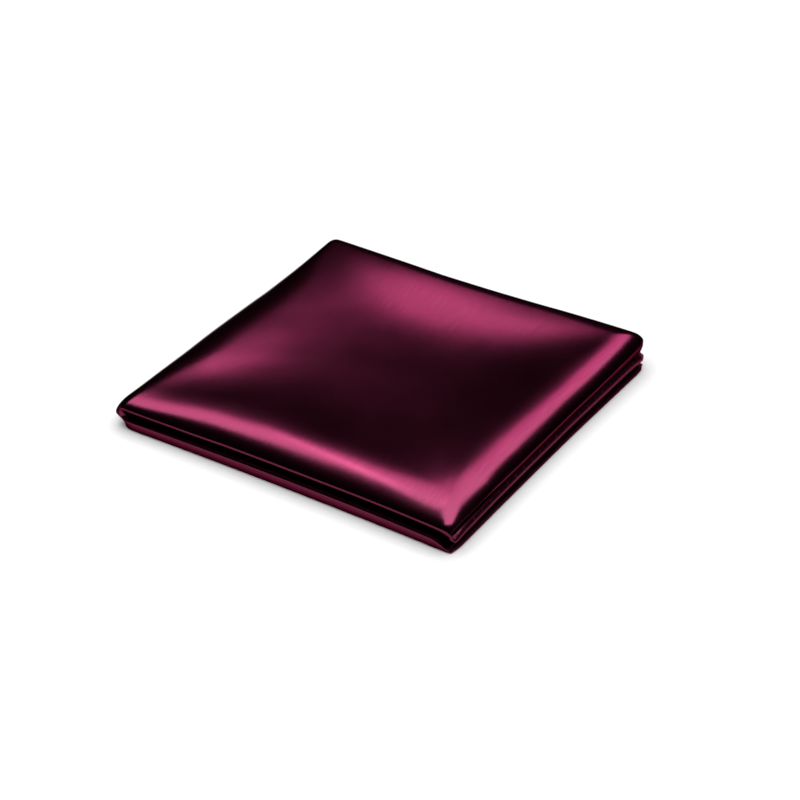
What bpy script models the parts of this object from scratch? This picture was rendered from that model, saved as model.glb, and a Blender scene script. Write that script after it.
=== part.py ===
"""A satin pocket square folded in quarters and laid flat, as two solids in one body.

showing_layer is the quarter that lies on top: its wall rolls under along the left front side,
wraps down to the table along the left back side, and ends in a hem along the two right sides.
hidden_layers is the three quarters beneath it, one rounded solid that is layered at its edges.

Metres, +Z up. X runs from the left back side to the right front side, Y from the left front side
to the right back side. The origin is on the table, under the middle of the folded square.
"""

from typing import NamedTuple

import bmesh
import bpy
import numpy as np

# Driving sizes
SQUARE = 0.254              # finished side of the whole square
SLIP = 0.0010               # added to the folded width, where the inner layers slide out
TAKE_UP = 0.0012            # taken from the folded depth by the rolls
HALF_WIDTH = SQUARE / 4 + SLIP / 2
HALF_DEPTH = SQUARE / 4 - TAKE_UP / 2

WALL = 0.0013
GAP = 0.0004                # between the showing layer and what it covers

RIM_HEIGHT = 0.0125         # crest of the soft edges
DISH_DEPTH = 0.0032         # the middle lies this far below the crest
DISH_START = 0.012
DISH_WIDTH = 0.030
RIM_POWER = 3.0

FRONT_BOW = 0.0011          # the front sides sag inwards between their corners
RIGHT_BOW = 0.00035
STRAIGHT_EDGE = 0.009       # the back sides stay straight this far in
RIGHT_FLARE = 0.0006        # the right front side spreads towards the right corner
BACK_SAG = 0.0007           # the right back rim sags between its corners
BACK_SAG_WIDTH = 0.030
BACK_SAG_LENGTH = 0.040

# How the sides are divided
STATIONS = 18
CORNER_BLEND = 0.010        # length over which one side's edge turns into the next one's
ROUND_REACH = 0.003
TUCK_REACH = 0.008
TUCK_HEIGHT = 0.0045
TUCK_BLEND = 0.0015
RADIUS_REACH = 0.35         # share of a side that a corner's edge radius takes to fade
EDGE_STEPS = 5
TOP_INSETS = (0.018, 0.026, 0.036, 0.048)


class Side(NamedTuple):
    """The showing layer's edge along one side, as insets from the side and heights."""

    name: str
    half_length: float
    half_across: float
    lip_inset: float        # where the wall ends, when it turns flat first
    low_inset: float        # lowest line of the curve
    low_height: float
    turn: float             # degrees that the curve turns below its bulge
    bulge_inset: float
    bulge_height: float
    radius_first: float     # distance from bulge to crest, at the first corner
    radius_middle: float
    radius_last: float


SIDES = (
    Side("left_front", HALF_WIDTH, HALF_DEPTH, 0.0045, 0.0034, 0.0042, 90,
         0.0, 0.0075, 0.0075, 0.0140, 0.0045),
    Side("right_front", HALF_DEPTH, HALF_WIDTH, 0.0, 0.0016, 0.0057, 45,
         0.0008, 0.0078, 0.0035, 0.0095, 0.0105),
    Side("right_back", HALF_WIDTH, HALF_DEPTH, 0.0, 0.0012, 0.0075, 45,
         0.0003, 0.0090, 0.0050, 0.0060, 0.0034),
    Side("left_back", HALF_DEPTH, HALF_WIDTH, 0.0060, 0.0040, 0.0, 90,
         0.0, 0.0062, 0.0040, 0.0090, 0.0060),
)


class Corner(NamedTuple):
    """The corner at the first end of each side."""

    name: str
    drop: float             # the corner is this much flatter than the sides
    drop_reach: float
    pull: float             # rounding, towards the middle
    tuck: float             # how much further in the showing layer stays
    share_before: float     # share of the side before it in the corner's heights


CORNERS = (
    Corner("left", 0.0027, 0.038, 0.0011, 0.0, 0.15),
    Corner("front", 0.0024, 0.013, 0.0006, 0.0, 0.5),
    Corner("right", -0.0005, 0.020, 0.0018, 0.0012, 0.5),
    Corner("back", 0.0013, 0.022, 0.0005, 0.0, 0.15),
)


class Hem(NamedTuple):
    """The hem of one hidden layer along an open side."""

    inset: float
    low: float
    high: float


HEMS = {
    "right_front": (Hem(0.0005, 0.0, 0.0009), Hem(0.0004, 0.0019, 0.0028),
                    Hem(0.0, 0.0038, 0.0048)),
    "right_back": (Hem(0.0006, 0.0, 0.0009), Hem(0.0004, 0.0022, 0.0032),
                   Hem(0.0002, 0.0046, 0.0056)),
}
HEM_NOSE = 0.0007
HEM_GROOVE = 0.0036
HEM_SPACE = 0.0002

ROLL_LOW_INSET = 0.0022     # the lower roll, along the left front side
ROLL_MIDDLE = 0.0022
ROLL_TOP_INSET = 0.0030
ROLL_TOP = 0.00385
ROLL_CORNER_INSET = 0.0010
SLOT_INSET = 0.0051         # end of the slot that the showing layer's turned edge lies in
SLOT_TOP = 0.0049
FOOT_START = 0.0080         # underside beside the showing layer's foot
FOOT_END = 0.0066
FOOT_SLOT_TOP = 0.0010
ARC_POINTS = 13

COLOUR = (0.105, 0.012, 0.032, 1.0)


def smooth(share):
    share = np.clip(share, 0.0, 1.0)
    return share * share * (3 - 2 * share)


def corner_points():
    x, y = HALF_WIDTH, HALF_DEPTH
    return ((-x, -y), (x, -y), (x, y), (-x, y))


def rim_height(x, y):
    """Height of the top at a place: a soft crest round a shallow dish, lower at the corners."""
    edges = np.array([y + HALF_DEPTH, HALF_WIDTH - x, x + HALF_WIDTH, HALF_DEPTH - y])
    edges = np.maximum(edges, 0.0005)
    distance = (edges ** -RIM_POWER).sum() ** (-1 / RIM_POWER)
    height = RIM_HEIGHT - DISH_DEPTH * smooth((distance - DISH_START) / DISH_WIDTH)
    along, across = x / BACK_SAG_LENGTH, (HALF_DEPTH - y) / BACK_SAG_WIDTH
    height -= BACK_SAG * np.exp(-along * along - across * across)
    for corner, (cx, cy) in zip(CORNERS, corner_points()):
        away = np.hypot(x - cx, y - cy) / corner.drop_reach
        height -= corner.drop * np.exp(-away * away)
    return height


def edge_radius(side, along):
    first = 1 - smooth((along + 1) / 2 / RADIUS_REACH)
    last = 1 - smooth((1 - along) / 2 / RADIUS_REACH)
    middle = side.radius_middle
    return middle + (side.radius_first - middle) * first + (side.radius_last - middle) * last


def to_plan(index, along, across):
    """World x and y of a point at a distance along and across from a side's middle."""
    return (
        (along, -across),
        (across, along),
        (-along, across),
        (-across, -along),
    )[index]


def outer_section(side, along):
    """The showing layer's outer line at one station, from its lip up and in over the top."""
    top = np.radians(side.turn)
    steps = EDGE_STEPS if side.lip_inset == 0 else EDGE_STEPS - 1
    points = [] if side.lip_inset == 0 else [(side.lip_inset, side.low_height)]
    for angle in np.linspace(top, 0, steps):
        inward = (1 - np.cos(angle)) / (1 - np.cos(top))
        down = np.sin(angle) / np.sin(top)
        points.append((
            side.bulge_inset + (side.low_inset - side.bulge_inset) * inward,
            side.bulge_height + (side.low_height - side.bulge_height) * down,
        ))
    radius = edge_radius(side, along)
    rise = RIM_HEIGHT - side.bulge_height
    for angle in np.linspace(0, np.pi / 2, EDGE_STEPS + 1)[1:]:
        points.append((
            side.bulge_inset + radius * (1 - np.cos(angle)),
            side.bulge_height + rise * np.sin(angle),
        ))
    points += [(inset, RIM_HEIGHT) for inset in TOP_INSETS]
    return np.array(points)


def settled(index, along, section):
    """The section with its heights scaled to the top's height at each point."""
    side = SIDES[index]
    heights = []
    for inset, height in section:
        run = along * (side.half_length - inset)
        x, y = to_plan(index, run, side.half_across - inset)
        heights.append(height * rim_height(x, y) / RIM_HEIGHT)
    return np.column_stack([section[:, 0], heights])


def moved_in(section, distance):
    """The line parallel to a section, on its inner side."""
    tangents = np.gradient(section, axis=0)
    tangents /= np.linalg.norm(tangents, axis=1)[:, None]
    inner = np.column_stack([tangents[:, 1], -tangents[:, 0]])
    return section + distance * inner


def hem_edge(side):
    """The hidden layers' edge along an open side: a nose for each hem, with grooves between."""
    points = []
    hems = HEMS[side.name]
    for hem, above in zip(hems, hems[1:] + (None,)):
        middle = (hem.low + hem.high) / 2
        points.append((hem.inset + HEM_NOSE, hem.low))
        points.append((hem.inset, middle))
        points.append((hem.inset + HEM_NOSE, hem.high))
        top = above.low - HEM_SPACE if above else hem.high + 2 * HEM_SPACE
        points.append((HEM_GROOVE, hem.high + HEM_SPACE / 2))
        points.append((HEM_GROOVE, top))
    return np.array(points)


def roll_edge():
    """The lower roll, and the slot over it for the turned edge of the showing layer."""
    points = []
    for angle in np.linspace(-np.pi / 2, np.pi / 2, ARC_POINTS):
        below = angle < 0
        reach = ROLL_LOW_INSET if below else ROLL_TOP_INSET
        rise = ROLL_MIDDLE if below else ROLL_TOP - ROLL_MIDDLE
        points.append((reach * (1 - np.cos(angle)), ROLL_MIDDLE + rise * np.sin(angle)))
    points += [(SLOT_INSET, ROLL_TOP), (SLOT_INSET, SLOT_TOP)]
    return np.array(points)


def foot_edge(side, along):
    """The underside beside the showing layer's foot, where the lower roll comes round its end."""
    insets = np.linspace(FOOT_START, FOOT_END, ARC_POINTS)
    left = side.half_length * (1 - along)
    turned = 1 - smooth(left / CORNER_BLEND)
    insets += (roll_edge()[:ARC_POINTS, 0] + ROLL_CORNER_INSET - insets) * turned
    points = [(inset, 0.0) for inset in insets]
    slot = FOOT_END - GAP / 4
    points += [(slot, 0.0), (slot, FOOT_SLOT_TOP)]
    return np.array(points)


def lower_section(side, along):
    if side.name in HEMS:
        return hem_edge(side)
    return roll_edge() if side.name == "left_front" else foot_edge(side, along)


def showing_section(index, along):
    """The showing layer's wall: its outer line, then its inner line back to the lip."""
    outer = settled(index, along, outer_section(SIDES[index], along))
    return np.vstack([outer, moved_in(outer, WALL)[::-1]])


def hidden_section(index, along):
    """The hidden layers' edge, then the line under the showing layer."""
    outer = settled(index, along, outer_section(SIDES[index], along))
    lower = settled(index, along, lower_section(SIDES[index], along))
    return np.vstack([lower, moved_in(outer, WALL + GAP)])


def mixed(corner, before, after):
    return before * corner.share_before + after * (1 - corner.share_before)


def side_rings(section, index):
    """Points of every ring along one side, with mitred insets and shared corner heights."""
    side = SIDES[index]
    following = (index + 1) % len(SIDES)
    first = section(index, -1.0)
    last = section(index, 1.0)
    before = section(index - 1, 1.0)
    after = section(following, -1.0)
    first_change = mixed(CORNERS[index], before[:, 1], first[:, 1]) - first[:, 1]
    last_change = mixed(CORNERS[following], last[:, 1], after[:, 1]) - last[:, 1]
    even = np.linspace(-1, 1, STATIONS + 1)[:-1]
    spaced = (even + np.sin(even * np.pi / 2)) / 2
    columns = []
    for along in spaced:
        own = section(index, along)
        share = (along + 1) / 2
        start = before[:, 0] - side.half_length
        end = side.half_length - after[:, 0]
        run = start + (end - start) * share
        from_first = 1 - smooth(share * 2 * side.half_length / CORNER_BLEND)
        from_last = 1 - smooth((1 - share) * 2 * side.half_length / CORNER_BLEND)
        height = own[:, 1] + first_change * from_first + last_change * from_last
        x, y = to_plan(index, run, side.half_across - own[:, 0])
        columns.append(np.column_stack([x, y, height]))
    return np.stack(columns, axis=1)


def bowed(points):
    """The points with rounded corners and slightly sagging front sides."""
    x, y, z = points[..., 0], points[..., 1], points[..., 2]
    moved = points.copy()
    for corner, (cx, cy) in zip(CORNERS, corner_points()):
        away = np.hypot(x - cx, y - cy)
        raised = smooth((z - TUCK_HEIGHT) / TUCK_BLEND)
        amount = corner.pull * np.exp(-(away / ROUND_REACH) ** 2)
        amount += corner.tuck * raised * np.exp(-(away / TUCK_REACH) ** 2)
        moved[..., 0] -= np.sign(cx) * amount
        moved[..., 1] -= np.sign(cy) * amount
    to_front = (HALF_DEPTH - STRAIGHT_EDGE - y) / (2 * HALF_DEPTH)
    to_right = (HALF_WIDTH - STRAIGHT_EDGE + x) / (2 * HALF_WIDTH)
    moved[..., 1] += FRONT_BOW * (1 - (x / HALF_WIDTH) ** 2) * np.clip(to_front, 0, 1)
    spread = RIGHT_FLARE * smooth(y / HALF_DEPTH) - RIGHT_BOW * (1 - (y / HALF_DEPTH) ** 2)
    moved[..., 0] += spread * np.clip(to_right, 0, 1)
    return moved


def rings_of(section):
    sides = [side_rings(section, index) for index in range(len(SIDES))]
    return bowed(np.concatenate(sides, axis=1))


def add_ring(bm, ring):
    return [bm.verts.new(point) for point in ring]


def join_rings(bm, first, second):
    count = len(first)
    for here in range(count):
        there = (here + 1) % count
        bm.faces.new((first[here], first[there], second[there], second[here]))


def add_middle(bm, ring, height, turned=False):
    middle = bm.verts.new((0.0, 0.0, height))
    for here, vertex in enumerate(ring):
        beside = ring[(here + 1) % len(ring)]
        bm.faces.new((beside, vertex, middle) if turned else (vertex, beside, middle))


def add_object(name, bm):
    mesh = bpy.data.meshes.new(name)
    bm.normal_update()
    bm.to_mesh(mesh)
    bm.free()
    mesh.shade_smooth()
    mesh.set_sharp_from_angle(angle=np.radians(50))
    solid = bpy.data.objects.new(name, mesh)
    bpy.context.scene.collection.objects.link(solid)
    material = bpy.data.materials.new(name + "_satin")
    material.use_nodes = True
    shader = material.node_tree.nodes["Principled BSDF"]
    shader.inputs["Base Color"].default_value = COLOUR
    shader.inputs["Roughness"].default_value = 0.35
    shader.inputs["Metallic"].default_value = 0.6
    mesh.materials.append(material)
    return solid


def make_showing_layer():
    bm = bmesh.new()
    rings = [add_ring(bm, ring) for ring in rings_of(showing_section)]
    half = len(rings) // 2
    for first, second in zip(rings, rings[1:]):
        if second is not rings[half]:
            join_rings(bm, first, second)
    join_rings(bm, rings[-1], rings[0])
    middle = RIM_HEIGHT - DISH_DEPTH
    add_middle(bm, rings[half - 1], middle)
    add_middle(bm, rings[half], middle - WALL, turned=True)
    return add_object("showing_layer", bm)


def make_hidden_layers():
    bm = bmesh.new()
    rings = [add_ring(bm, ring) for ring in rings_of(hidden_section)]
    for first, second in zip(rings, rings[1:]):
        join_rings(bm, first, second)
    add_middle(bm, rings[0], 0.0, turned=True)
    add_middle(bm, rings[-1], RIM_HEIGHT - DISH_DEPTH - WALL - GAP)
    return add_object("hidden_layers", bm)


def centre(solids):
    """Moves the points so that the origin lies under the middle of the whole."""
    points = np.array([v.co for solid in solids for v in solid.data.vertices])
    middle = (points.min(axis=0) + points.max(axis=0)) / 2
    for solid in solids:
        for vertex in solid.data.vertices:
            vertex.co.x -= middle[0]
            vertex.co.y -= middle[1]


def main():
    for old in list(bpy.data.objects):
        bpy.data.objects.remove(old, do_unlink=True)
    centre([make_showing_layer(), make_hidden_layers()])


main()
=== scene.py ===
"""Looks of a satin pocket square that is folded in quarters and laid flat.

The folded square is one sheet: its flat cut is run over its two folds, so its four layers, the
rolls along the left front side and the wraps along the left back side are all one piece.
The layers are numbered from the table up. One and four are the outer pair, and two and three
lie between them. Two and one, and three and four, are joined along the left front side.
"""

import math
from typing import NamedTuple

import bmesh
import bpy
import numpy as np
from bpy.props import FloatProperty, FloatVectorProperty, PointerProperty
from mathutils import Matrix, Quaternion, Vector


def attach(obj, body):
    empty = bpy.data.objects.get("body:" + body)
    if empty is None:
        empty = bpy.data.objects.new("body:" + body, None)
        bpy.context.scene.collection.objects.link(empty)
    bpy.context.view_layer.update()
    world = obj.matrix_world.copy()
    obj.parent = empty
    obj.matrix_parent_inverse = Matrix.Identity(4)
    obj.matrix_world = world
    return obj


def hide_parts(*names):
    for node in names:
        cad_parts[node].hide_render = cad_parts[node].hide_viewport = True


bl_info = {
    "name": "Folded Pocket Square",
    "version": (1, 0, 0),
    "blender": (4, 5, 0),
    "location": "3D View > Sidebar > Pocket Square",
    "description": "Makes a satin square folded in quarters, its hem stitches and a pale studio",
    "category": "Object",
}

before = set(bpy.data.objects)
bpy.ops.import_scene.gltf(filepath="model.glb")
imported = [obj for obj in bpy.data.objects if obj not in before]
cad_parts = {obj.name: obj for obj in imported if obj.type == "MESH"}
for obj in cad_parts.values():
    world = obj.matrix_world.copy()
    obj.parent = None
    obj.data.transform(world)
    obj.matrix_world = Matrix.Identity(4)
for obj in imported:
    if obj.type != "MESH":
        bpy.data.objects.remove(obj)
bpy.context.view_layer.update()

# In metres, as in the CAD: the finished square's side when unfolded, and half its width and half
# its depth when folded
SQUARE = 0.254
HALF_WIDTH = 0.0640
HALF_DEPTH = 0.0629
CENTRE_SHIFT = 0.00022      # from the middle of the corners to the middle of the CAD box, in X


class Corner(NamedTuple):
    """How one corner of the folded square is flatter and rounder than its sides."""

    x_side: int
    y_side: int
    drop: float                 # how far the top lies lower there
    drop_reach: float
    low_pull: float             # how far it is pulled in near the table
    high_pull: float            # and how far above that
    split: float                # the height between the two


LEFT = Corner(-1, -1, 0.0027, 0.029, 0.0022, 0.0005, 0.0014)
FRONT = Corner(1, -1, 0.0016, 0.022, 0.0006, 0.0006, 0.0045)
RIGHT = Corner(1, 1, -0.0011, 0.050, 0.0014, 0.0012, 0.0045)
BACK = Corner(-1, 1, 0.0002, 0.052, 0.0, 0.0, 0.0045)
CORNERS = (LEFT, FRONT, RIGHT, BACK)
ROUND_REACH = 0.0035            # from the corner, for both pulls
SPLIT_BLEND = 0.0035            # the height over which one pull turns into the other

# At the right corner the hem of layer four is pulled in and hangs lower. Its heights are where
# that starts, where it is whole, where it begins to fade and where it ends.
HEM_TUCK = 0.0024
HEM_TUCK_HEIGHTS = (0.0056, 0.0061, 0.0068, 0.0105)
HEM_SAG = 0.0014
HEM_SAG_REACH = 0.005
HEM_SAG_START = 0.0002

# The top: a crest round a shallow dish, a sag in the right back side, and a soft lean
RIM_POWER = 3.0                 # a higher one gives the dish sharper corners
NEAREST_SIDE = 0.0005           # keeps the distance from a side above 0
DISH_START = 0.0047
DISH_WIDTH = 0.040
BACK_SAG = 0.0011
BACK_SAG_WIDTH = 0.060
BACK_SAG_LENGTH = 0.040
SLOPE = (-0.0016, -0.0018)      # how the middle leans along X and Y
VALLEY = (0.0009, -0.0017)      # and how it is curved along them


class Ripple(NamedTuple):
    """A soft ridge in the top, or a trough where its rise is below 0."""

    x: float
    y: float
    turn: float             # degrees from X that it runs
    length: float
    width: float
    rise: float


RIPPLES = (Ripple(-0.043, 0.008, 62, 0.016, 0.0060, -0.00004),
           Ripple(-0.036, -0.016, 38, 0.014, 0.0052, 0.00003),
           Ripple(-0.012, 0.046, -12, 0.018, 0.0056, -0.00004),
           Ripple(0.024, 0.050, 6, 0.013, 0.0048, 0.00003),
           Ripple(0.047, -0.028, 74, 0.015, 0.0054, -0.00004),
           Ripple(0.018, -0.047, 14, 0.012, 0.0046, 0.00003))


class Pucker(NamedTuple):
    """A place where a side is drawn in a little."""

    x_side: int
    y_side: int
    place: float            # along the side, from -1 to 1
    reach: float
    pull: float


PUCKERS = (Pucker(0, -1, -0.34, 0.007, 0.00012), Pucker(0, -1, 0.41, 0.010, 0.00015),
           Pucker(1, 0, 0.22, 0.008, 0.00012), Pucker(-1, 0, -0.42, 0.009, 0.00022),
           Pucker(-1, 0, 0.31, 0.006, 0.00014), Pucker(0, 1, -0.27, 0.008, 0.00020),
           Pucker(0, 1, 0.36, 0.006, 0.00013))
PUCKER_DEPTH = 0.012        # how far in it is felt, and the height at which it is whole

# The two near sides are bowed in at their middle and flare out towards their ends
FRONT_BOW = 0.0009
FRONT_FLARE = 0.0006
RIGHT_BOW = 0.00035
RIGHT_FLARE = 0.0006
STRAIGHT_EDGE = 0.009       # the opposite side stays straight over this width

# Distance from a side's furthest line in to its crest: at its first end, middle and last end
RADIUS_REACH = 0.35         # the share of the side over which an end's radius fades
RADIUS_RIGHT_FRONT = (0.0062, 0.0155, 0.0095)
RADIUS_LEFT_BACK = (0.0055, 0.0143, 0.0042)
RADIUS_LEFT_FRONT = (0.0092, 0.0198, 0.0098)
RADIUS_RIGHT_BACK = (0.0055, 0.0062, 0.0095)

# Heights of the inner layers and of the furthest lines, as shares of the whole height
LAYER_THREE = 0.51
LAYER_TWO = 0.36
UPPER_ROLL = (0.84, 0.650, 0.74)        # along the left front side, as the radii are
LOWER_ROLL = (0.335, 0.295, 0.305)
WRAP = 0.50                             # along the left back side
FRONT_PINCH = 0.56          # the inner layers lie this share lower at the front corner
FRONT_PINCH_REACH = 0.0038
RIGHT_PINCH = 0.32          # and this share lower at the right corner
RIGHT_PINCH_REACH = 0.007

# How far in from its furthest line each fold meets the layers that it joins
UPPER_ROLL_IN = 0.0060      # layer three
LOWER_ROLL_IN = 0.0034      # layer two
LOWER_ROLL_OUT = 0.0011     # layer one
WRAP_FOOT = 0.0035          # layer one, along the left back side
INNER_WRAP = 0.0046         # the inner pair's wrap lies this far inside the outer one
INNER_WRAP_RADIUS = 0.0015
CREASE = 0.0005             # the radius of the right back side where the wrap turns under


class OpenEdge(NamedTuple):
    """How layer four hangs along an open side."""

    inset: float            # of its furthest line
    heights: tuple          # of that line, as shares of the whole: first end, middle, last end
    under: float            # how far in and how far down it would turn below that line
    under_drop: float
    turns: tuple            # degrees that it turns below upright, or less than upright


HANG_RIGHT_FRONT = OpenEdge(0.0006, (0.80, 0.655, 0.69), 0.0016, 0.17, (-55, 5, 42))
HANG_RIGHT_BACK = OpenEdge(0.0003, (0.72, 0.72, 0.70), 0.0012, 0.17, (42, 25, 42))
TURN_REACH = 0.25
HANG_SAMPLES = 120

# The hem of layer three turns down over that of layer two, which lies a little further in
LIP_INSET = 0.0007
LIP_RADIUS = 0.0009
LIP_TURN = 14.0             # degrees inwards from straight down
LIP_HANG = 0.0013
LIP_FALL = 0.01             # how far its cloth slopes down to the bend, as a share of the height
TWO_INSET = 0.0014
TWO_FALL = 0.18             # and how far layer two slopes down to its hem
FALL_REACH = 0.008
MOST_FALL = 1.1             # at the corner, where the slopes of two sides meet
UNDER_INSET = 0.0003        # of the hem of layer one
UNDER_REACH = 0.004

# The cloth and its hem, a narrow roll on the wrong side. The stations are distances from the edge.
THICKNESS = 0.00035
HEM_RISE = 0.00060          # how far the roll stands out
HEM_WIDTH = 0.0016
EDGE_ROUND = 0.00030
HEM_STATIONS = (0.0, 0.00005, 0.00013, 0.00025, 0.0004, 0.0006, 0.0008, 0.0010,
                0.0012, 0.0014, 0.0016, 0.0020, 0.0026)
LIP_STATIONS = (*HEM_STATIONS, 0.0030, 0.0034, 0.0038, 0.0042, 0.0047, 0.0054)

# The hem's slip stitches, and one stitch's rings: how far along it, and how wide
STITCH_SPACING = 0.005
STITCH_INSET = 0.0019
STITCH_SLANT = 35.0             # degrees away from the hem
THREAD_RADIUS = 0.00007
THREAD_SIDES = 6
THREAD_RINGS = ((-0.00050, 0.00002), (-0.00036, 0.00006), (0.0, THREAD_RADIUS),
                (0.00036, 0.00006), (0.00050, 0.00002))

# Steps of the sheet's grid: above a hanging hem, over the top, over half a fold, and along a
# hidden layer
HANG_STEPS = 16
TOP_STEPS = 84
ROLL_STEPS = 14
HIDDEN_STEPS = 52
LINE_SAMPLES = 121              # lines round the outer pair, between which the rows are read
JOINT_POWER = 3


def smooth(share):
    share = np.clip(share, 0.0, 1.0)
    return share * share * (3 - 2 * share)


def between_ends(along, values, reach=RADIUS_REACH):
    """A value along a side, at a place from -1 to 1, from its ends' and its middle's."""
    first, middle, last = values
    from_first = 1 - smooth((along + 1) / 2 / reach)
    from_last = 1 - smooth((1 - along) / 2 / reach)
    return middle + (first - middle) * from_first + (last - middle) * from_last


def joined(first, second):
    """Two drops as one, which passes softly from the first to the second."""
    return (first ** JOINT_POWER + second ** JOINT_POWER) ** (1 / JOINT_POWER)


def from_corner(x, y, corner):
    return np.hypot(x - corner.x_side * HALF_WIDTH, y - corner.y_side * HALF_DEPTH)


def whole_height(x, y, rim, dish):
    """Height of the top at a place: a soft crest round a shallow dish, lower at the corners."""
    edges = np.stack([y + HALF_DEPTH, HALF_WIDTH - x, x + HALF_WIDTH, HALF_DEPTH - y])
    distance = (np.maximum(edges, NEAREST_SIDE) ** -RIM_POWER).sum(axis=0) ** (-1 / RIM_POWER)
    height = rim - dish * smooth((distance - DISH_START) / DISH_WIDTH)
    along, across = x / BACK_SAG_LENGTH, (HALF_DEPTH - y) / BACK_SAG_WIDTH
    height -= BACK_SAG * np.exp(-along * along - across * across)
    for corner in CORNERS:
        away = from_corner(x, y, corner) / corner.drop_reach
        height -= corner.drop * np.exp(-away * away)
    for ripple in RIPPLES:
        turn = math.radians(ripple.turn)
        right, up = x - ripple.x, y - ripple.y
        along = (right * math.cos(turn) + up * math.sin(turn)) / ripple.length
        across = (up * math.cos(turn) - right * math.sin(turn)) / ripple.width
        height += ripple.rise * np.exp(-along * along - across * across)
    u, v = np.clip(x / HALF_WIDTH, -1, 1), np.clip(y / HALF_DEPTH, -1, 1)
    middle = (1 - u * u) * (1 - v * v)
    lean = SLOPE[0] * u + SLOPE[1] * v + VALLEY[0] * u * u + VALLEY[1] * v * v
    return height + middle * lean


def bowed(x, y, z):
    """The points with rounded corners, drawn-in places and slightly bowed near sides."""
    moved_x, moved_y = x.copy(), y.copy()
    for corner in CORNERS:
        near = np.exp(-(from_corner(x, y, corner) / ROUND_REACH) ** 2)
        raised = smooth((z - corner.split) / SPLIT_BLEND)
        amount = near * (corner.low_pull + (corner.high_pull - corner.low_pull) * raised)
        if corner is RIGHT:
            start, full, last, end = HEM_TUCK_HEIGHTS
            level = smooth((z - start) / (full - start)) * smooth((end - z) / (end - last))
            amount += HEM_TUCK * near * level
            sag = np.exp(-(from_corner(x, y, corner) / HEM_SAG_REACH) ** 2)
            lower = smooth((z - start + HEM_SAG_START) / HEM_SAG_START)
            lower *= smooth((end - z) / (end - full))
            z = z - HEM_SAG * sag * lower
        moved_x -= corner.x_side * amount
        moved_y -= corner.y_side * amount
    for pucker in PUCKERS:
        if pucker.x_side:
            aside, inward = y - pucker.place * HALF_DEPTH, HALF_WIDTH - pucker.x_side * x
        else:
            aside, inward = x - pucker.place * HALF_WIDTH, HALF_DEPTH - pucker.y_side * y
        amount = pucker.pull * np.exp(-(aside / pucker.reach) ** 2)
        amount = amount * (1 - smooth(inward / PUCKER_DEPTH)) * smooth(z / PUCKER_DEPTH)
        moved_x -= pucker.x_side * amount
        moved_y -= pucker.y_side * amount
    to_front = (HALF_DEPTH - STRAIGHT_EDGE - y) / (2 * HALF_DEPTH)
    to_right = (HALF_WIDTH - STRAIGHT_EDGE + x) / (2 * HALF_WIDTH)
    bow = FRONT_BOW * (1 - (x / HALF_WIDTH) ** 2) - FRONT_FLARE
    moved_y += bow * np.clip(to_front, 0, 1)
    spread = RIGHT_FLARE * smooth(y / HALF_DEPTH) - RIGHT_BOW * (1 - (y / HALF_DEPTH) ** 2)
    moved_x += spread * np.clip(to_right, 0, 1)
    return moved_x - CENTRE_SHIFT, moved_y, z


def even(count):
    """Shares up to 1, without 0."""
    return np.arange(1, count + 1) / count


def between(count):
    """Shares between 0 and 1, without both, and closer together near them."""
    shares = np.arange(1, count + 1) / (count + 1)
    crowded = (1 - np.cos(np.pi * shares)) / 2
    return (shares + crowded) / 2


def hanging(edge, along, radius, rim):
    """Insets and height shares down a hanging edge, from its hem up and in to its crest."""
    height = between_ends(along, edge.heights)
    turn = between_ends(along, edge.turns, TURN_REACH)
    low = math.radians(max(-turn, 0))
    angles = np.radians(np.linspace(-turn, 90, HANG_SAMPLES))
    out = (math.cos(low) - np.cos(angles)) / math.cos(low)
    up = (np.sin(angles) - math.sin(low)) / (1 - math.sin(low))
    over = angles >= 0
    insets = edge.inset + np.where(over, radius, edge.under) * out
    heights = height + np.where(over, 1 - height, edge.under_drop) * up
    steps = np.hypot(np.diff(insets), np.diff(heights) * rim)
    lengths = np.concatenate([[0], np.cumsum(steps)])
    hem = np.array(HEM_STATIONS)
    rest = hem[-1] + (lengths[-1] - hem[-1]) * even(HANG_STEPS)
    places = np.concatenate([hem, rest])
    return np.interp(places, lengths, insets), np.interp(places, lengths, heights)


HANG_COUNT = len(HEM_STATIONS) + HANG_STEPS
UPPER_COUNT = HANG_COUNT + TOP_STEPS
FOLD_COUNT = 2 * ROLL_STEPS
LOWER_COUNT = HIDDEN_STEPS + len(HEM_STATIONS)
COUNT = UPPER_COUNT + FOLD_COUNT + LOWER_COUNT
MEASURED_LINE = HANG_COUNT + 30     # the row and the column on which the cut is measured


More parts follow.
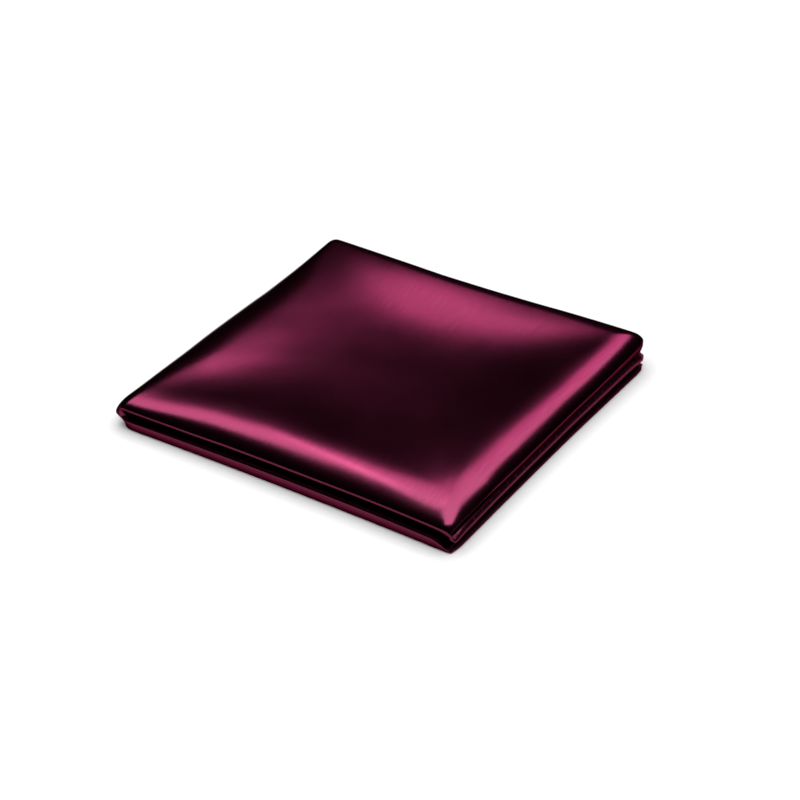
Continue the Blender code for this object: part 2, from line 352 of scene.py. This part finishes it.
def outer_line(y, rim):
    """X and height share round the outer pair at one Y: layer four, the wrap, layer one.

    It also gives each point's share of the upper half, which is 1 on top and 0 below."""
    along = y / HALF_DEPTH
    right = between_ends(along, RADIUS_RIGHT_FRONT)
    left = between_ends(along, RADIUS_LEFT_BACK)
    insets, hang = hanging(HANG_RIGHT_FRONT, along, right, rim)
    start, end = HALF_WIDTH - insets[-1], left - HALF_WIDTH
    top = start + (end - start) * even(TOP_STEPS)
    angles = np.radians(90 * even(ROLL_STEPS))
    upper_x = -HALF_WIDTH + left * (1 - np.sin(angles))
    upper_z = WRAP + (1 - WRAP) * np.cos(angles)
    lower_x = -HALF_WIDTH + WRAP_FOOT * (1 - np.cos(angles))
    lower_z = WRAP * (1 - np.sin(angles))
    hem = HALF_WIDTH - UNDER_INSET - np.array(HEM_STATIONS)[::-1]
    under = lower_x[-1] + (hem[0] - lower_x[-1]) * between(HIDDEN_STEPS)
    x = np.concatenate([HALF_WIDTH - insets, top, upper_x, lower_x, under, hem])
    z = np.concatenate([hang, np.ones(TOP_STEPS), upper_z, lower_z, np.zeros(LOWER_COUNT)])
    up = np.concatenate([np.ones(UPPER_COUNT), 0.5 + 0.5 * np.cos(angles),
                         0.5 - 0.5 * np.sin(angles), np.zeros(LOWER_COUNT)])
    return x, z, up


def lip(rim):
    """Insets and drops of layer three's hem at its stations, the drops as height shares."""
    distances = np.array(LIP_STATIONS)
    turn = math.radians(LIP_TURN)
    arc = np.clip(distances - LIP_HANG, 0, LIP_RADIUS * (turn + math.pi / 2)) / LIP_RADIUS - turn
    hang = np.maximum(LIP_HANG - distances, 0)
    flat = np.maximum(distances - LIP_HANG - LIP_RADIUS * (turn + math.pi / 2), 0)
    insets = LIP_INSET + LIP_RADIUS * (1 - np.cos(arc)) + hang * math.sin(turn) + flat
    drops = LIP_RADIUS * (1 - np.sin(arc)) + hang * math.cos(turn)
    return insets, drops / rim


def inner_line(rim):
    """X and height share round the inner pair: layer three, the inner wrap, layer two.

    It also gives how far each point is dropped by the lip, and its share of layer three."""
    insets, drops = lip(rim)
    start = HALF_WIDTH - insets
    bend = INNER_WRAP - HALF_WIDTH
    upper = start[-1] + (bend + INNER_WRAP_RADIUS - start[-1]) * even(UPPER_COUNT - len(start))
    angles = np.pi / 2 - np.pi * even(FOLD_COUNT)
    fold = bend + INNER_WRAP_RADIUS * (1 - np.cos(angles))
    last = HALF_WIDTH - TWO_INSET - np.array(HEM_STATIONS)[::-1]
    lower = fold[-1] + (last[0] - fold[-1]) * between(HIDDEN_STEPS)
    x = np.concatenate([start, upper, fold, lower, last])
    middle, half = (LAYER_THREE + LAYER_TWO) / 2, (LAYER_THREE - LAYER_TWO) / 2
    z = np.concatenate([np.full(UPPER_COUNT, LAYER_THREE), middle + half * np.sin(angles),
                        np.full(LOWER_COUNT, LAYER_TWO)])
    down = np.concatenate([drops, np.zeros(COUNT - len(drops))])
    return x, z, down, smooth((z - middle + half) / (2 * half))


def cross_rows(along, up, rim):
    """For one column: Y, the share of the way from the outer to the inner pair, and the drop."""
    upper = smooth(2 * up - 1)
    out = LOWER_ROLL_OUT + (between_ends(along, RADIUS_LEFT_FRONT) - LOWER_ROLL_OUT) * upper
    inward = LOWER_ROLL_IN + (UPPER_ROLL_IN - LOWER_ROLL_IN) * upper
    back = CREASE + (between_ends(along, RADIUS_RIGHT_BACK) - CREASE) * upper
    insets, hang = hanging(HANG_RIGHT_BACK, along, back, rim)
    stations = np.array(LIP_STATIONS)
    if up < 0.5:
        flat = UNDER_INSET + np.array(HEM_STATIONS)
        insets = np.concatenate([flat, flat[-1] + UNDER_REACH * even(HANG_STEPS)])
        hang = np.ones(HANG_COUNT)
    start, end = HALF_DEPTH - insets[-1], out - HALF_DEPTH
    flat = start + (end - start) * even(TOP_STEPS)
    angles = np.radians(90 * even(ROLL_STEPS))
    outer = -HALF_DEPTH + out * (1 - np.sin(angles))
    inner = -HALF_DEPTH + inward * (1 - np.cos(angles))
    turned = TWO_INSET + stations + (lip(rim)[0] - TWO_INSET - stations) * upper
    hem = HALF_DEPTH - turned[::-1]
    hidden = inner[-1] + (hem[0] - inner[-1]) * between(LOWER_COUNT - len(hem))
    y = np.concatenate([HALF_DEPTH - insets, flat, outer, inner, hidden, hem])
    turned_out = 1 - np.cos(angles)
    turned_in = np.sin(angles)
    drop = np.concatenate([(1 - hang) * upper, np.zeros(COUNT - HANG_COUNT)])
    return y, turned_out, turned_in, drop


def kept_height(x, y, corner, pinch, reach):
    """The share of its height that an inner layer keeps near a corner."""
    return 1 - pinch * np.exp(-(from_corner(x, y, corner) / reach) ** 2)


def folded_sheet(rim, dish):
    """Middle surface of the folded square: an array of points, row by column."""
    nominal, _, ups = outer_line(0.0, rim)
    y = np.empty((COUNT, COUNT))
    drops = np.empty((COUNT, COUNT))
    for column in range(COUNT):
        along = np.clip(nominal[column] / HALF_WIDTH, -1, 1)
        y[:, column], turned_out, turned_in, drops[:, column] = cross_rows(along, ups[column], rim)
    inner_x, inner_z, lip_x, third = inner_line(rim)
    x = np.empty_like(y)
    z = np.empty_like(y)
    samples = np.linspace(-HALF_DEPTH, HALF_DEPTH, LINE_SAMPLES)
    lines = [outer_line(value, rim) for value in samples]
    line_x = np.stack([line[0] for line in lines])
    line_z = np.stack([line[1] for line in lines])
    for column in range(COUNT):
        x[:, column] = np.interp(y[:, column], samples, line_x[:, column])
        z[:, column] = np.interp(y[:, column], samples, line_z[:, column])
    on_top = ups == 1
    z = np.where(on_top[None, :], 1 - joined(np.maximum(1 - z, 0), drops), z * (1 - drops))
    # The inner pair
    pinch = kept_height(inner_x[None, :], y, FRONT, FRONT_PINCH, FRONT_PINCH_REACH)
    pinch *= kept_height(inner_x[None, :], y, RIGHT, RIGHT_PINCH, RIGHT_PINCH_REACH)
    fall_x = 1 - smooth((HALF_WIDTH - inner_x) / FALL_REACH)
    fall_y = 1 - smooth((HALF_DEPTH - y) / FALL_REACH)
    fall = np.minimum(joined(fall_x[None, :], fall_y), MOST_FALL)
    falls = TWO_FALL + (LIP_FALL - TWO_FALL) * third
    lip_y = np.concatenate([np.zeros(COUNT - len(LIP_STATIONS)), lip(rim)[1][::-1]])
    lips = joined(lip_x[None, :], lip_y[:, None] * third[None, :])
    inner_heights = (inner_z[None, :] - falls[None, :] * fall - lips) * pinch
    # The share of the way from the outer pair to the inner one
    share = np.zeros((COUNT, COUNT))
    upper = smooth(ups)[None, :]
    rows_out = slice(UPPER_COUNT, UPPER_COUNT + ROLL_STEPS)
    rows_in = slice(UPPER_COUNT + ROLL_STEPS, UPPER_COUNT + FOLD_COUNT)
    places = np.clip(nominal / HALF_WIDTH, -1, 1)[None, :]
    high = (1 - between_ends(places, UPPER_ROLL)) / (1 - inner_heights)
    low = between_ends(places, LOWER_ROLL) / LAYER_TWO
    bulge = low + (high - low) * upper
    share[rows_out] = bulge[rows_out] * turned_out[:, None]
    share[rows_in] = bulge[rows_in] + (1 - bulge[rows_in]) * turned_in[:, None]
    share[UPPER_COUNT + FOLD_COUNT:] = 1.0
    px = (1 - share) * x + share * inner_x[None, :]
    pz = (1 - share) * z + share * inner_heights
    height = THICKNESS / 2 + pz * (whole_height(px, y, rim, dish) - THICKNESS)
    return np.stack(bowed(px, y, height), axis=-1)


def cut_distances(points):
    """Each column's and each row's distance from the first edge, on the flat cut."""
    def spread(line):
        steps = np.linalg.norm(np.diff(line, axis=0), axis=1)
        lengths = np.concatenate([[0], np.cumsum(steps)])
        return lengths * SQUARE / lengths[-1]
    return spread(points[MEASURED_LINE]), spread(points[:, MEASURED_LINE])


def point_normals(points):
    down = np.gradient(points, axis=0)
    across = np.gradient(points, axis=1)
    normals = np.cross(across, down)
    return normals / np.linalg.norm(normals, axis=-1)[..., None]


def hem_offsets(columns, rows):
    """How far the face and the wrong side lie from the middle surface."""
    near_x = np.minimum(columns, SQUARE - columns)
    near_y = np.minimum(rows, SQUARE - rows)
    near = np.minimum(near_x[None, :], near_y[:, None])
    edge = np.clip(near / EDGE_ROUND, 0, 1)
    face = THICKNESS / 2 * np.sqrt(1 - (1 - edge) ** 2)
    place = np.clip(near / HEM_WIDTH, 0, 1) * 2 - 1
    roll = HEM_RISE * np.sqrt(np.maximum(1 - place * place, 0))
    return face, face + roll


def map_to_cut(mesh, cut):
    """Give the mesh its vertices' places on the flat cut as its UV map."""
    layer = mesh.uv_layers.new(name="cut")
    corners = np.empty(len(mesh.loops), dtype=np.int32)
    mesh.loops.foreach_get("vertex_index", corners)
    layer.data.foreach_set("uv", cut[corners].ravel())


def sheet_mesh(points, columns, rows):
    """Both sides of the sheet as one closed mesh, with the flat cut as its UV map."""
    normals = point_normals(points)
    face, back = hem_offsets(columns, rows)
    front = points + normals * face[..., None]
    rear = points - normals * back[..., None]
    count = COUNT * COUNT
    front_index = np.arange(count).reshape(COUNT, COUNT)
    rear_index = front_index + count
    for edge in (np.s_[0, :], np.s_[-1, :], np.s_[:, 0], np.s_[:, -1]):
        rear_index[edge] = front_index[edge]

    def quads(index):
        return np.stack([index[:-1, :-1], index[:-1, 1:], index[1:, 1:], index[1:, :-1]], -1)

    faces = np.concatenate([quads(front_index).reshape(-1, 4),
                            quads(rear_index).reshape(-1, 4)[:, ::-1]])
    places = np.concatenate([front.reshape(-1, 3), rear.reshape(-1, 3)])
    mesh = bpy.data.meshes.new("satin_square")
    mesh.from_pydata(places.tolist(), [], faces.tolist())
    sides = np.repeat(np.array([0, 1], dtype=np.int32), len(faces) // 2)
    mesh.polygons.foreach_set("material_index", sides)
    cut = np.stack(np.meshgrid(columns, rows), -1).reshape(-1, 2)
    map_to_cut(mesh, np.concatenate([cut, cut]))
    bm = bmesh.new()
    bm.from_mesh(mesh)
    loose = [vertex for vertex in bm.verts if not vertex.link_faces]
    bmesh.ops.delete(bm, geom=loose, context="VERTS")
    bm.to_mesh(mesh)
    bm.free()
    mesh.shade_smooth()
    return mesh


def on_cut(grid, columns, rows, u, v):
    """Values of the sheet's grid at places on its flat cut."""
    across, down = np.interp(u, columns, np.arange(COUNT)), np.interp(v, rows, np.arange(COUNT))
    column = np.minimum(across.astype(int), COUNT - 2)
    row = np.minimum(down.astype(int), COUNT - 2)
    s, t = (across - column)[..., None], (down - row)[..., None]
    near = grid[row, column] * (1 - s) + grid[row, column + 1] * s
    far = grid[row + 1, column] * (1 - s) + grid[row + 1, column + 1] * s
    return near * (1 - t) + far * t


def stitch_mesh(points, columns, rows):
    """Slip stitches round the hem on the wrong side: short slanted threads, all of one kind."""
    normals = point_normals(points)
    rear = points - normals * hem_offsets(columns, rows)[1][..., None]
    lengths, radii = np.array(THREAD_RINGS).T
    slant = math.radians(STITCH_SLANT)
    count = round(SQUARE / STITCH_SPACING)
    along = (np.arange(count)[:, None] + 0.5) * SQUARE / count + math.cos(slant) * lengths
    inset = STITCH_INSET + np.zeros((count, 1)) + math.sin(slant) * lengths
    u = np.concatenate([inset, SQUARE - inset, along, along])
    v = np.concatenate([along, along, inset, SQUARE - inset])
    middle = on_cut(rear, columns, rows, u, v)
    up = -on_cut(normals, columns, rows, u, v)
    middle = middle + up * THREAD_RADIUS / 2
    forward = np.gradient(middle, axis=1)
    side = np.cross(forward, up)
    side /= np.linalg.norm(side, axis=-1)[..., None]
    angles = 2 * np.pi * np.arange(THREAD_SIDES) / THREAD_SIDES
    ring = side[:, :, None] * np.cos(angles)[:, None] + up[:, :, None] * np.sin(angles)[:, None]
    places = middle[:, :, None] + ring * radii[:, None, None]
    rings = len(radii)
    index = np.arange(rings * THREAD_SIDES).reshape(rings, THREAD_SIDES)
    after = np.roll(index, -1, axis=1)
    tube = np.stack([index[:-1], index[1:], after[1:], after[:-1]], -1).reshape(-1, 4).tolist()
    tube += [index[0].tolist(), index[-1][::-1].tolist()]
    size = rings * THREAD_SIDES
    faces = [[size * stitch + corner for corner in face]
             for stitch in range(len(u)) for face in tube]
    mesh = bpy.data.meshes.new("hem_stitches")
    mesh.from_pydata(places.reshape(-1, 3).tolist(), [], faces)
    map_to_cut(mesh, np.stack([np.repeat(u, THREAD_SIDES), np.repeat(v, THREAD_SIDES)], -1))
    bm = bmesh.new()
    bm.from_mesh(mesh)
    bmesh.ops.recalc_face_normals(bm, faces=bm.faces)
    bm.to_mesh(mesh)
    bm.free()
    mesh.shade_smooth()
    return mesh


def add(tree, kind, **values):
    """A node with its settings, and its inputs by name or number."""
    node = tree.nodes.new(kind)
    inputs = values.pop("inputs", {})
    for name, value in values.items():
        setattr(node, name, value)
    for name, value in inputs.items():
        node.inputs[name].default_value = value
    return node


def ramp(tree, source, low, high):
    """A value from low to high as the source goes through the middle of its range."""
    limits = {"From Min": RAMP_START, "From Max": RAMP_END, "To Min": low, "To Max": high}
    node = add(tree, "ShaderNodeMapRange", interpolation_type="SMOOTHSTEP", inputs=limits)
    tree.links.new(source, node.inputs["Value"])
    return node.outputs["Result"]


def woven_group():
    """Floats of a satin weave, streaks along its threads, and broad cloudy variation."""
    tree = bpy.data.node_groups.new("woven_satin", "ShaderNodeTree")
    face = tree.interface
    face.new_socket("Cut", in_out="INPUT", socket_type="NodeSocketVector")
    for name in ("Float", "Streak", "Cloud"):
        face.new_socket(name + " Size", in_out="INPUT", socket_type="NodeSocketVector")
        face.new_socket(name, in_out="OUTPUT", socket_type="NodeSocketFloat")
    start, end = tree.nodes.new("NodeGroupInput"), tree.nodes.new("NodeGroupOutput")
    floats = add(tree, "ShaderNodeTexVoronoi", voronoi_dimensions="2D", feature="F1",
                 inputs={"Scale": 1.0, "Randomness": 0.45})
    streaks = add(tree, "ShaderNodeTexNoise", noise_dimensions="2D",
                  inputs={"Scale": 1.0, "Detail": 2.0, "Roughness": 0.6})
    clouds = add(tree, "ShaderNodeTexNoise", noise_dimensions="2D",
                 inputs={"Scale": 1.0, "Detail": 3.0, "Roughness": 0.5})
    for name, texture, output in (("Float", floats, "Distance"), ("Streak", streaks, "Fac"),
                                  ("Cloud", clouds, "Fac")):
        divide = add(tree, "ShaderNodeVectorMath", operation="DIVIDE")
        tree.links.new(start.outputs["Cut"], divide.inputs[0])
        tree.links.new(start.outputs[name + " Size"], divide.inputs[1])
        tree.links.new(divide.outputs[0], texture.inputs["Vector"])
        result = texture.outputs[output]
        if name == "Float":
            turned = add(tree, "ShaderNodeMath", operation="SUBTRACT", inputs={0: 1.0})
            tree.links.new(result, turned.inputs[1])
            result = turned.outputs[0]
        tree.links.new(result, end.inputs[name])
    return tree


# Sizes in metres along the weft and the warp, on the flat cut. The third one is not used by the
# textures, which are flat, and is 1 because it divides.
WARP_FLOAT = (0.00012, 0.00055, 1.0)
WARP_STREAK = (0.0004, 0.012, 1.0)
WEFT_FLOAT = (0.00028, 0.00014, 1.0)
WEFT_STREAK = (0.012, 0.0004, 1.0)
THREAD_TWIST = (0.00006, 0.00012, 1.0)
CLOUD = (0.011, 0.016, 1.0)
FLOAT_RISE = 0.0000025
STREAK_SHADE = 0.06                         # how much darker and lighter the streaks are
ROUGHNESS_SPREAD = 0.007
EDGE_TINT = (0.15, 0.05, 0.08, 1.0)         # of light at a grazing angle
REVERSE_TINT = (0.60, 0.35, 0.42, 1.0)
RAMP_START, RAMP_END = 0.3, 0.7             # the middle of a texture's range


def shaded(colour, factor):
    return (*(min(part * factor, 1.0) for part in colour), 1.0)


class Finish(NamedTuple):
    """How one side of the cloth or its thread looks, beside the settings for the face."""

    name: str
    sheen: float                # both as a share of the face's
    roughness: float
    edge_tint: tuple
    rise: float                 # of its floats
    sizes: dict


FACE = Finish("satin", 1.0, 1.0, EDGE_TINT, FLOAT_RISE,
              {"Float Size": WARP_FLOAT, "Streak Size": WARP_STREAK, "Cloud Size": CLOUD})
REVERSE = Finish("satin_reverse", 0.94, 1.5, REVERSE_TINT, 2 * FLOAT_RISE,
                 {"Float Size": WEFT_FLOAT, "Streak Size": WEFT_STREAK, "Cloud Size": CLOUD})
THREAD = Finish("thread", 0.80, 1.9, REVERSE_TINT, 3 * FLOAT_RISE,
                {"Float Size": THREAD_TWIST, "Streak Size": WEFT_STREAK, "Cloud Size": CLOUD})


def woven_material(finish, settings, woven):
    """Floats of the weave as relief, fine streaks along them and a slightly uneven sheen."""
    material = bpy.data.materials.new(finish.name)
    material.use_nodes = True
    tree = material.node_tree
    shader = tree.nodes["Principled BSDF"]
    shader.inputs["Metallic"].default_value = settings.satin_sheen * finish.sheen
    shader.inputs["Specular Tint"].default_value = finish.edge_tint
    cut = add(tree, "ShaderNodeUVMap", uv_map="cut")
    weave = add(tree, "ShaderNodeGroup", node_tree=woven, inputs=finish.sizes)
    tree.links.new(cut.outputs["UV"], weave.inputs["Cut"])
    tone = add(tree, "ShaderNodeMix", data_type="RGBA")
    tone.inputs["A"].default_value = shaded(settings.satin_colour, 1 - STREAK_SHADE)
    tone.inputs["B"].default_value = shaded(settings.satin_colour, 1 + STREAK_SHADE)
    tree.links.new(ramp(tree, weave.outputs["Streak"], 0.0, 1.0), tone.inputs["Factor"])
    tree.links.new(tone.outputs["Result"], shader.inputs["Base Color"])
    middle = settings.satin_roughness * finish.roughness
    low, high = middle - ROUGHNESS_SPREAD, middle + ROUGHNESS_SPREAD
    tree.links.new(ramp(tree, weave.outputs["Cloud"], low, high), shader.inputs["Roughness"])
    bump = add(tree, "ShaderNodeBump", inputs={"Strength": 1.0, "Distance": finish.rise})
    tree.links.new(weave.outputs["Float"], bump.inputs["Height"])
    tree.links.new(bump.outputs["Normal"], shader.inputs["Normal"])
    return material


class SquareSettings(bpy.types.PropertyGroup):
    """Sizes and finish of the folded square."""

    rim_height: FloatProperty(
        name="Rim Height", description="Height of the soft crest round the folded square",
        default=0.0128, min=0.006, max=0.020, unit="LENGTH")
    dish_depth: FloatProperty(
        name="Dish Depth", description="How far the middle lies below the crest",
        default=0.0039, min=0.0, max=0.006, unit="LENGTH")
    satin_colour: FloatVectorProperty(
        name="Satin", description="Colour of the satin", subtype="COLOR",
        default=(0.118, 0.0207, 0.0455), size=3, min=0.0, max=1.0)
    satin_sheen: FloatProperty(
        name="Sheen", description="How much of the satin's look is mirrored light",
        default=0.99, min=0.0, max=1.0, subtype="FACTOR")
    satin_roughness: FloatProperty(
        name="Roughness", description="How soft the sheen of the satin is",
        default=0.18, min=0.05, max=1.0, subtype="FACTOR")


class StageSettings(bpy.types.PropertyGroup):
    """Floor, lights and camera."""

    floor_colour: FloatVectorProperty(
        name="Floor", description="Colour of the floor", subtype="COLOR",
        default=(0.9, 0.9, 0.9), size=3, min=0.0, max=1.0)
    back_strength: FloatProperty(
        name="Back Light", description="Brightness of the large soft light behind the square",
        default=4.9, min=0.0, max=20.0)
    side_strength: FloatProperty(
        name="Side Light", description="Brightness of the small soft light behind it at the left",
        default=5.6, min=0.0, max=20.0)
    fill_strength: FloatProperty(
        name="Fill", description="Brightness of the light over the whole floor",
        default=2.9, min=0.0, max=20.0)


class SATIN_OT_square(bpy.types.Operator):
    """Make the folded satin square"""

    bl_idname = "satin.square"
    bl_label = "Folded Square"

    def execute(self, context):
        settings = context.scene.satin_square
        points = folded_sheet(settings.rim_height, settings.dish_depth)
        columns, rows = cut_distances(points)
        mesh = sheet_mesh(points, columns, rows)
        square = bpy.data.objects.new("satin_square", mesh)
        context.collection.objects.link(square)
        woven = woven_group()
        for finish in (FACE, REVERSE):
            mesh.materials.append(woven_material(finish, settings, woven))
        stitches = bpy.data.objects.new("hem_stitches", stitch_mesh(points, columns, rows))
        context.collection.objects.link(stitches)
        stitches.data.materials.append(woven_material(THREAD, settings, woven))
        for piece in (square, stitches):
            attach(piece, "root")
        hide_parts("showing_layer", "hidden_layers")
        return {"FINISHED"}


# The camera was fitted to the outline of the photographed square. Angles are in degrees.
CAMERA_AZIMUTH = 32.82
CAMERA_ELEVATION = 33.21
CAMERA_DISTANCE = 0.7049
CAMERA_LENS = 96.19
CAMERA_SHIFT = (0.01556, -0.00748)


def direction(azimuth, elevation):
    """From the middle towards a place, with azimuth 0 at -Y and 90 at +X."""
    a, e = math.radians(azimuth), math.radians(elevation)
    return Vector((math.sin(a) * math.cos(e), -math.cos(a) * math.cos(e), math.sin(e)))


class SoftLight(NamedTuple):
    """An area light that faces the middle, and the setting of its brightness."""

    name: str
    setting: str
    shape: str
    azimuth: float
    elevation: float
    distance: float
    size: tuple
    roll: float             # radians about its own axis
    hidden_from: str        # the rays that it doesn't light


LIGHTS = (SoftLight("soft_back", "back_strength", "RECTANGLE", 183.4, 65.6, 1.0,
                    (0.618, 1.164), 0.6, "visible_diffuse"),
          SoftLight("soft_left", "side_strength", "ELLIPSE", 236.9, 48.3, 1.0,
                    (0.456, 0.238), 0.0, "visible_diffuse"),
          SoftLight("fill", "fill_strength", "SQUARE", 0, 90, 2.0,
                    (3.0, 3.0), 0.0, "visible_glossy"))
FLOOR_SIZE = 6.0
FLOOR_ROUGHNESS = 0.9
WORLD_COLOUR = (0.004, 0.004, 0.004, 1)


def add_soft_light(soft, radiance):
    bpy.ops.object.light_add(type="AREA")
    light = bpy.context.object
    light.name = light.data.name = soft.name
    light.data.shape = soft.shape
    light.data.size, light.data.size_y = soft.size
    area = soft.size[0] * soft.size[1] * (math.pi / 4 if soft.shape == "ELLIPSE" else 1)
    light.data.energy = radiance * math.pi * area
    towards = direction(soft.azimuth, soft.elevation)
    light.location = towards * soft.distance
    turn = towards.to_track_quat("Z", "Y") @ Quaternion((0, 0, 1), soft.roll)
    light.rotation_euler = turn.to_euler()
    setattr(light, soft.hidden_from, False)


class SATIN_OT_stage(bpy.types.Operator):
    """Make the floor, the lights and the camera"""

    bl_idname = "satin.stage"
    bl_label = "Stage"

    def execute(self, context):
        settings = context.scene.satin_stage
        bpy.ops.object.select_all(action="DESELECT")
        bpy.ops.mesh.primitive_plane_add(size=FLOOR_SIZE)
        floor = context.object
        floor.name = "floor"
        material = bpy.data.materials.new("floor")
        material.use_nodes = True
        shader = material.node_tree.nodes["Principled BSDF"]
        shader.inputs["Base Color"].default_value = (*settings.floor_colour, 1)
        shader.inputs["Roughness"].default_value = FLOOR_ROUGHNESS
        shader.inputs["Specular IOR Level"].default_value = 0.0
        floor.data.materials.append(material)
        for soft in LIGHTS:
            add_soft_light(soft, getattr(settings, soft.setting))
        world = bpy.data.worlds.new("studio")
        context.scene.world = world
        world.use_nodes = True
        world.node_tree.nodes["Background"].inputs["Color"].default_value = WORLD_COLOUR
        camera = bpy.data.objects.new("camera", bpy.data.cameras.new("camera"))
        context.collection.objects.link(camera)
        back = direction(CAMERA_AZIMUTH, CAMERA_ELEVATION)
        camera.location = back * CAMERA_DISTANCE
        camera.rotation_euler = (-back).to_track_quat("-Z", "Y").to_euler()
        camera.data.lens = CAMERA_LENS
        camera.data.shift_x, camera.data.shift_y = CAMERA_SHIFT
        context.scene.camera = camera
        context.scene.view_settings.view_transform = "Standard"
        return {"FINISHED"}


class SATIN_PT_panel(bpy.types.Panel):
    """Sizes and colours of the folded square, and its makers"""

    bl_idname = "SATIN_PT_panel"
    bl_label = "Pocket Square"
    bl_space_type = "VIEW_3D"
    bl_region_type = "UI"
    bl_category = "Pocket Square"

    def draw(self, context):
        layout = self.layout
        for group in (context.scene.satin_square, context.scene.satin_stage):
            for name in group.__annotations__:
                layout.prop(group, name)
        for operator in OPERATORS:
            layout.operator(operator.bl_idname)


SETTINGS = {"satin_square": SquareSettings, "satin_stage": StageSettings}
OPERATORS = (SATIN_OT_square, SATIN_OT_stage)
CLASSES = (*SETTINGS.values(), *OPERATORS, SATIN_PT_panel)


def register():
    for cls in CLASSES:
        bpy.utils.register_class(cls)
    for name, cls in SETTINGS.items():
        setattr(bpy.types.Scene, name, PointerProperty(type=cls))


def unregister():
    for name in SETTINGS:
        delattr(bpy.types.Scene, name)
    for cls in reversed(CLASSES):
        bpy.utils.unregister_class(cls)


def main():
    register()
    bpy.ops.satin.square()
    bpy.ops.satin.stage()


if __name__ == "__main__":
    main()
